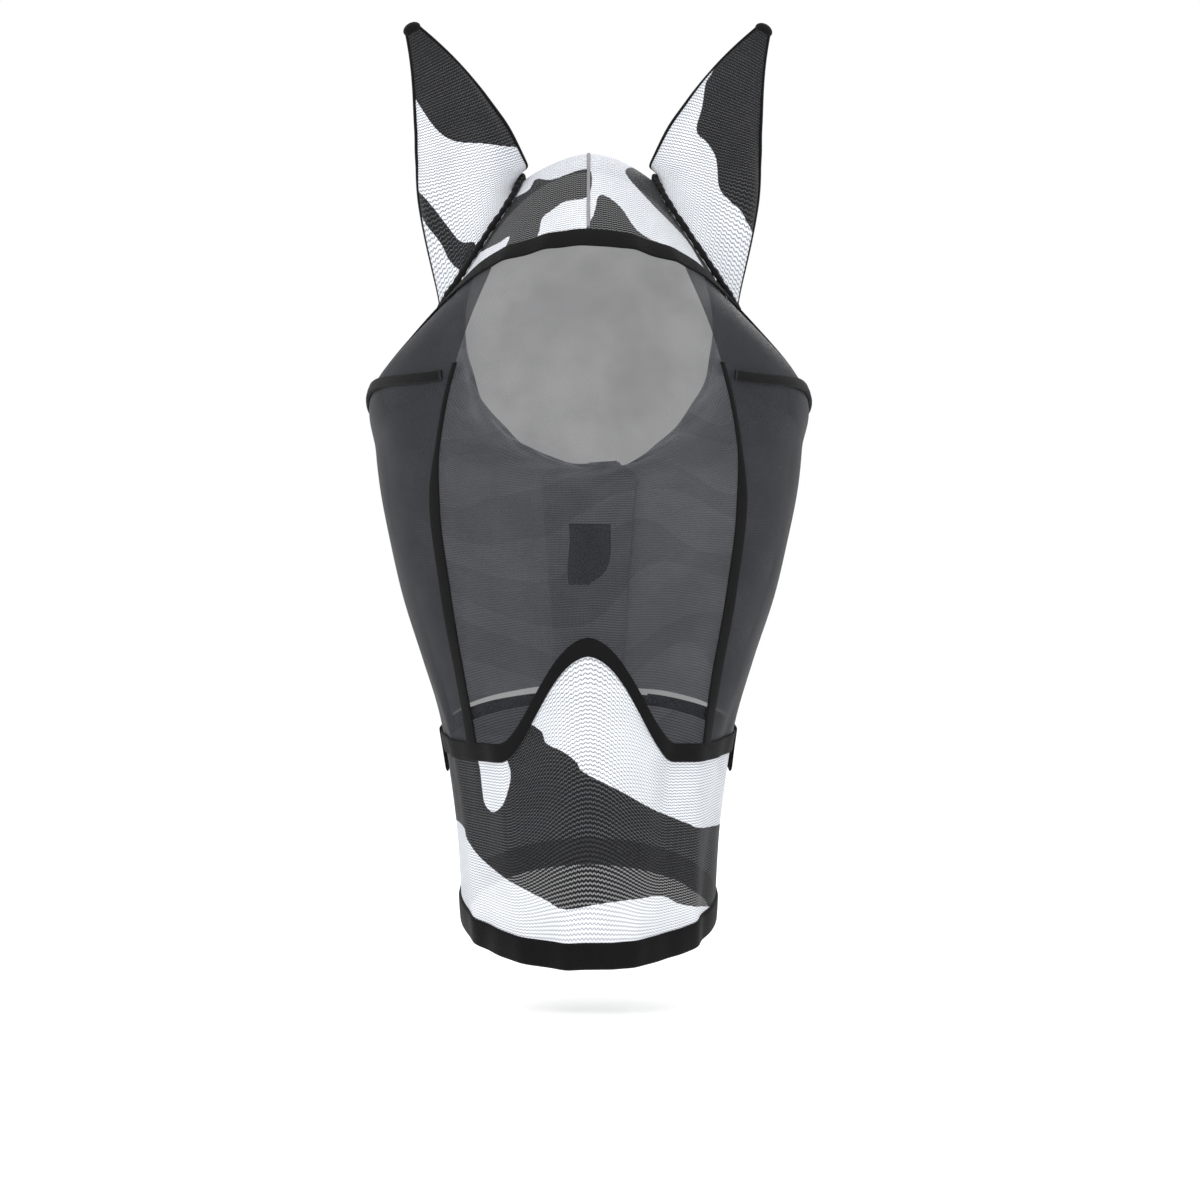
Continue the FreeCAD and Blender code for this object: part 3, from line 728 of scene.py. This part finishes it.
SKIRT = 0.30  # share of an ear's length over which its cloth spreads out to the ring


def ear_cloth(side, turn, share, out=0.0):
    """An ear's cloth, from the ring on the crown to the tip."""
    turn, share = np.broadcast_arrays(np.asarray(turn, float), np.asarray(share, float))
    ring = ring_point(side, turn[:, 0])[:, None, :]
    lifted = ear_point(side, turn, np.maximum(share, 0.0), out)
    joined = ease(share / SKIRT)[..., None]
    return ring * (1 - joined) + lifted * joined


def ear_bend(side):
    base, _, _, outward = ear_base(side)
    return (Vector((base + outward * 2.0) * MM), Vector((base + outward * 26.0) * MM))


def add_ear(name, side):
    body = f"{name}_ear"
    bend = ear_bend(side)
    for part, first, last in (("front", -90, 90), ("back", 90, 270)):
        counts = (70, 110)
        s, t = unit_grid(*counts)
        points = ear_cloth(side, first + (last - first) * s, t)
        uv = grid_uv(points * MM)
        flat = points.reshape(-1, 3)
        node = f"ear_{part}_{name}"
        faces = quads_of(*counts)
        if side < 0:
            faces = faces[:, ::-1]
        obj = make_mesh(f"{node}_cloth", flat, faces, uv.reshape(-1, 2), {"ink": ink_at(flat, node) * MM})
        dress(obj, printed, body, node, bend)
    add_ear_tape(name, side, body, bend)
    add_ring(name, side)


def ball(centre, radii, ways, rows=14, columns=20):
    """Points and faces of a closed ellipsoid, with its axes along three directions."""
    lat = np.linspace(-math.pi / 2 + 0.12, math.pi / 2 - 0.12, rows)[:, None]
    lon = np.linspace(0, 2 * math.pi, columns, endpoint=False)[None, :]
    parts = (np.cos(lat) * np.cos(lon), np.cos(lat) * np.sin(lon), np.sin(lat) + 0 * lon)
    points = centre + sum(p[..., None] * (radius * way) for p, radius, way in zip(parts, radii, ways))
    faces = quads_of(rows, columns, close_columns=True).tolist()
    faces += [list(range(columns))[::-1], list(range((rows - 1) * columns, rows * columns))]
    uv = np.stack([lon * radii[0] + 0 * lat, lat * radii[2] + 0 * lon], -1) * MM
    return points.reshape(-1, 3), faces, uv.reshape(-1, 2)


def add_ear_tape(name, side, body, bend):
    """Tape up both edges of an ear, and the bound knot at its tip."""
    share = span(110) * 0.995
    core = ear_point(side, np.stack([share * 0, share * 0 + 180], -1), np.stack([share, share], -1))
    depth = unit(core[:, 0] - core[:, 1])
    middle = core.mean(1)
    # Millimetres across the tape and out from the edge of the ear.
    profile = (
        (3.2, -0.7), (3.0, 0.7), (1.6, 1.3), (0.0, 1.5), (-1.6, 1.3), (-3.0, 0.7), (-3.2, -0.7),
        (0.0, -1.0),
    )
    points, faces, uvs, start = [], [], [], 0
    for turn in (-90.0, 90.0):
        edge = ear_cloth(side, np.full((1, len(share)), turn), share[None, :])[0]
        outwards = unit(edge - middle)
        narrow = (1 - 0.35 * ease((share - 0.7) / 0.3))[:, None]
        grid = np.stack([edge + depth * (w * narrow) + outwards * h for w, h in profile], 1)
        columns = len(profile)
        strip = quads_of(len(share), columns, close_columns=True).tolist()
        strip += [list(range(columns))[::-1], list(range((len(share) - 1) * columns, len(share) * columns))]
        faces += [[corner + start for corner in face] for face in strip]
        points.append(grid.reshape(-1, 3))
        uvs.append(grid_uv(grid * MM)[..., ::-1].reshape(-1, 2))
        start += grid.shape[0] * columns
    tip = ear_point(side, np.array([[90.0, -90.0]]), np.array([[1.0, 1.0]]))[0]
    width_way = unit(tip[0] - tip[1])
    up_way = unit(np.cross(depth[-1], width_way))
    up_way = up_way * np.sign(up_way[2])
    knot_radii = (6.6, 5.4, 4.6)
    knot_centre = tip.mean(0) + up_way * 0.5
    knot, knot_faces, knot_uv = ball(knot_centre, knot_radii, (width_way, depth[-1], up_way))
    faces += [[corner + start for corner in face] for face in knot_faces]
    points.append(knot)
    uvs.append(knot_uv)
    node = f"ear_seam_tape_{name}"
    obj = make_mesh(node + "_cover", np.concatenate(points), faces, np.concatenate(uvs))
    dress(obj, binding, body, node, bend)


def add_ring(name, side):
    """Covered elastic round an ear's opening, puckered by its stretch."""
    turns = np.linspace(0, 360, 220, endpoint=False)
    middle = ring_point(side, turns)
    _, _, _, outward = ear_base(side)
    along = unit(np.roll(middle, -1, 0) - np.roll(middle, 1, 0))
    aside = unit(np.cross(along, outward))
    top = np.cross(aside, along)
    radius = 2.5 + 0.35 * np.sin(np.radians(turns) * 46) + 0.25 * np.sin(np.radians(turns) * 17)
    phases = np.radians(np.arange(10) * 36.0)
    points = (
        middle[:, None]
        + aside[:, None] * (np.cos(phases)[None, :, None] * radius[:, None, None] * 1.25)
        + top[:, None] * (np.sin(phases)[None, :, None] * radius[:, None, None] * 0.85)
    )
    uv = np.stack(np.meshgrid(np.radians(turns) * 0.045, phases * 0.0025, indexing="ij"), -1)[..., ::-1]
    faces = quads_of(*points.shape[:2], close_rows=True, close_columns=True)
    obj = make_mesh(f"ear_ring_{name}_elastic", points.reshape(-1, 3), faces, uv.reshape(-1, 2))
    dress(obj, elastic, "head_cover", f"ear_ring_{name}")


def ear_hole(side):
    base, long_way, front, _ = ear_base(side)
    long_half, short_half = EAR_HALF_WIDTHS[0] + EAR_MARGIN + 2, EAR_HALF_DEPTHS[0] + EAR_MARGIN + 2

    def inside(points):
        away = points - base
        return ((away @ long_way) / long_half) ** 2 + ((away @ front) / short_half) ** 2 < 1

    return inside


# ---------------------------------------------------------------- sides

tape_low, tape_thick = 1.3, 1.3


def bind_round(name, line, first, last, width=BINDING):
    """Binding that runs round the head over a seam."""
    places = round_places(line, first, last, width)
    add_strip(name, places, tape_low, tape_thick, width, binding)


for side_name, side in SIDES:
    lines = side_lines(side, seam_angle, rear)
    cheek_place = patch(*lines, nose_line, dart_line)
    add_panel(f"cheek_mesh_{side_name}", cheek_place, (60, 130), cheek_net)
    add_panel(f"eye_dart_{side_name}", patch(*lines, dart_line, brow_line), (60, 40), cheek_net)
    crown_lines = side_lines(side, fixed(0.0), rear)
    crown_place = patch(*crown_lines, brow_line, top_edge)
    add_panel(
        f"crown_panel_{side_name}", crown_place, (150, 110), printed, hole=ear_hole(side)
    )
    side_panel_lines = side_lines(side, rear, flap_seam)
    side_place = patch(*side_panel_lines, fixed(JAW_BOTTOM), top_edge)
    add_panel(f"side_panel_{side_name}", side_place, (40, 120), printed)
    seam = lambda v, side=side: side * seam_angle(v)
    cheek = fixed(side * REAR_SEAM)
    for node, line, low_level, high_level in (
        (f"face_seam_tape_{side_name}", seam, 2.05, 6.72),
        (f"cheek_seam_tape_{side_name}", cheek, 1.9, 7.1),
        (f"side_seam_tape_{side_name}", cheek, 7.3, 10.8),
        (f"nose_seam_tape_{side_name}", cheek, 0.27, 1.75),
    ):
        narrow = (lambda level: 1 - 0.62 * ease((level - 5.0) / 0.8)) if node.startswith("face") else None
        places = up_places(line, low_level, high_level, SEAM_TAPE, narrow)
        add_strip(node, places, tape_low, tape_thick, SEAM_TAPE, binding)
    corner = float(seam_angle(LEVEL["brow"])) + 4
    ends = sorted((side * corner, side * (REAR_SEAM + 2)))
    bind_round(f"dart_binding_{side_name}", brow_line, *ends)
    stay = sorted((side * (float(seam_angle(LEVEL["dart"])) + 6), side * (REAR_SEAM - 5)))
    stay_places = round_places(dart_line, *stay, STAY_WIDTH)
    add_strip(f"eye_stay_{side_name}", stay_places, tape_low, STAY_THICK, STAY_WIDTH, padding)
    add_ear(side_name, side)

corner = float(seam_angle(LEVEL["brow"])) + 4.4
bind_round("brow_binding", brow_line, -corner, corner)
bind_round("nose_binding", nose_line, -REAR_SEAM - 2, REAR_SEAM + 2)
bind_round("chin_binding", nose_line, REAR_SEAM + 2.3, 357.7 - REAR_SEAM)
crown_seam = up_places(fixed(0.0), 8.15, 10.8, CROWN_SEAM_WIDTH)
add_strip("crown_seam_tape", crown_seam, 0.7, 0.8, CROWN_SEAM_WIDTH, seam_cord)
neck_end = float(flap_seam(TOP)) - 1.5
bind_round("neck_binding", higher(top_edge, -NECK_BINDING / 2), -neck_end, neck_end, NECK_BINDING)
hem_middle = higher(fixed(0.0), HEM_WIDTH / 2)
for name, first, last in (
    ("hem_band_front", -REAR_SEAM, REAR_SEAM),
    ("hem_band_rear", REAR_SEAM + 0.2, 359.8 - REAR_SEAM),
):
    hem_places = round_places(hem_middle, first, last, HEM_WIDTH)
    add_strip(name, hem_places, HEM_LOW, HEM_THICK, HEM_WIDTH, fleece)

# ---------------------------------------------------------------- closures

STRIP_THICK = 1.3
STRIP_WIDTH = 38.0
PAD_GAP = 0.4
LAP = 1.5 + 2 * (PAD_GAP + STRIP_THICK) + 0.35
flap_bend = (Vector((66, 124, -243)) * MM + Vector((-0.8173, 0.522, -0.2441)) * 0.002,
             Vector((66, 124, -243)) * MM + Vector((-0.8173, 0.522, -0.2441)) * 0.016)

jaw_place = patch(fixed(-180 - OVERLAP), lambda v: -flap_seam(v), fixed(JAW_BOTTOM), top_edge)
flap_place = patch(flap_seam, fixed(180 + OVERLAP), fixed(JAW_BOTTOM), top_edge)
add_panel("jaw_panel", jaw_place, (80, 110), printed)
add_panel(
    "jaw_flap", flap_place, (80, 110), printed,
    "jaw_flap", lambda s, t: 0.75 + LAP * ease(s / 0.6), flap_bend,
)
for strip_name, low_level, high_level in (("lower", 2.4, 3.4), ("upper", 3.6, 4.9)):
    for kind, middle, low, material, body in (
        ("loop", -180.0, 1.4, loops, "head_cover"),
        ("hook", 180.0, LAP - PAD_GAP - STRIP_THICK, hooks, "jaw_flap"),
    ):
        places = up_places(fixed(middle), low_level, high_level, STRIP_WIDTH)
        strip = f"{kind}_strip_{strip_name}"
        add_strip(strip, places, low, STRIP_THICK, STRIP_WIDTH, material, body)

STRAP_LEVEL, STRAP_WIDTH, STRAP_THICK = 1.7, 32.0, 1.8
STRAP_START, STRAP_FOLD, STRAP_TAIL, STRAP_END = 96.0, 134.0, 204.0, 236.0
strap_low = 2.0 + 1.4 + 0.4
strap_high = strap_low + STRAP_THICK + 2 * (PAD_GAP + STRIP_THICK) + 0.35
strap = fixed(STRAP_LEVEL)
fold_at = Vector((-75.68, 50.88, -403.22)) * MM
fold_along = Vector((0.69, 0.72, 0.0))
strap_bend = (fold_at, fold_at + fold_along * 0.014)

for name, first, last in (
    ("chin_strap_tail", STRAP_START, 360 - STRAP_TAIL),
    ("chin_strap_anchor", 360 - STRAP_FOLD, 360 - STRAP_START),
):
    places = round_places(strap, first, last, STRAP_WIDTH)
    add_strip(name, places, strap_low, STRAP_THICK, STRAP_WIDTH, binding)

pad_width = STRAP_WIDTH - 4
pad_places = round_places(strap, 362 - STRAP_END, 359 - STRAP_TAIL, pad_width)
loop_low = strap_low + STRAP_THICK + PAD_GAP
hook_low = strap_high - PAD_GAP - STRIP_THICK
add_strip("chin_strap_loop_pad", pad_places, loop_low, STRIP_THICK, pad_width, loops)
add_strip("chin_strap_hook_pad", pad_places, hook_low, STRIP_THICK, pad_width, hooks, "chin_strap")


def arm_low(along, across):
    """The arm's underside: low at its fold, and over both pads at its free end."""
    return strap_low + (strap_high - strap_low) * ease((1 - along) / 0.55)


arm_places = round_places(strap, 360 - STRAP_END, 360 - STRAP_FOLD, STRAP_WIDTH)
add_strip(
    "chin_strap_arm", arm_places, arm_low, STRAP_THICK, STRAP_WIDTH, binding, "chin_strap",
    bend=strap_bend,
)

# ---------------------------------------------------------------- studio

SPAN_SHOWN = 0.816
DISTANCE = 2.6
LOOK_AT = Vector((0.008, -0.10, -0.314))

floor = bpy.data.objects.new("floor", bpy.data.meshes.new("floor"))
half, low = 6.0, -0.60
floor_corners = [(-half, -half, low), (half, -half, low), (half, half, low), (-half, half, low)]
floor.data.from_pydata(floor_corners, [], [(0, 1, 2, 3)])
bpy.context.scene.collection.objects.link(floor)
ground = Shader("pale_floor")
floor.data.materials.append(ground.surface(rgb(0.92, 0.92, 0.92), 0.9))
floor_shader = ground.tree.nodes["Principled BSDF"]
floor_shader.inputs["Emission Color"].default_value = rgb(1, 1, 1)
floor_shader.inputs["Emission Strength"].default_value = 0.16


def add_light(name, kind, place, aim, power, size):
    lamp = bpy.data.lights.new(name, kind)
    lamp.energy = power
    lamp.size = size
    obj = bpy.data.objects.new(name, lamp)
    obj.location = place
    obj.rotation_euler = (Vector(aim) - Vector(place)).to_track_quat("-Z", "Y").to_euler()
    bpy.context.scene.collection.objects.link(obj)


add_light("key", "AREA", (-1.2, -2.2, 1.0), (0, 0, -0.3), 42, 1.6)
add_light("fill", "AREA", (1.8, -1.8, 0.2), (0, 0, -0.3), 16, 2.0)
add_light("rim", "AREA", (0.6, 2.0, 1.2), (0, 0, -0.2), 20, 1.5)

world = bpy.data.worlds.new("studio")
bpy.context.scene.world = world
world.use_nodes = True
world.node_tree.nodes["Background"].inputs[0].default_value = (1, 1, 1, 1)
world.node_tree.nodes["Background"].inputs[1].default_value = 1.0

bpy.context.scene.view_settings.view_transform = "Standard"

lens = bpy.data.cameras.new("camera")
lens.lens = lens.sensor_width * DISTANCE / SPAN_SHOWN
camera = bpy.data.objects.new("camera", lens)
camera.location = LOOK_AT + Vector((0, -DISTANCE, 0))
camera.rotation_euler = (math.pi / 2, 0, 0)
bpy.context.scene.collection.objects.link(camera)
bpy.context.scene.camera = camera
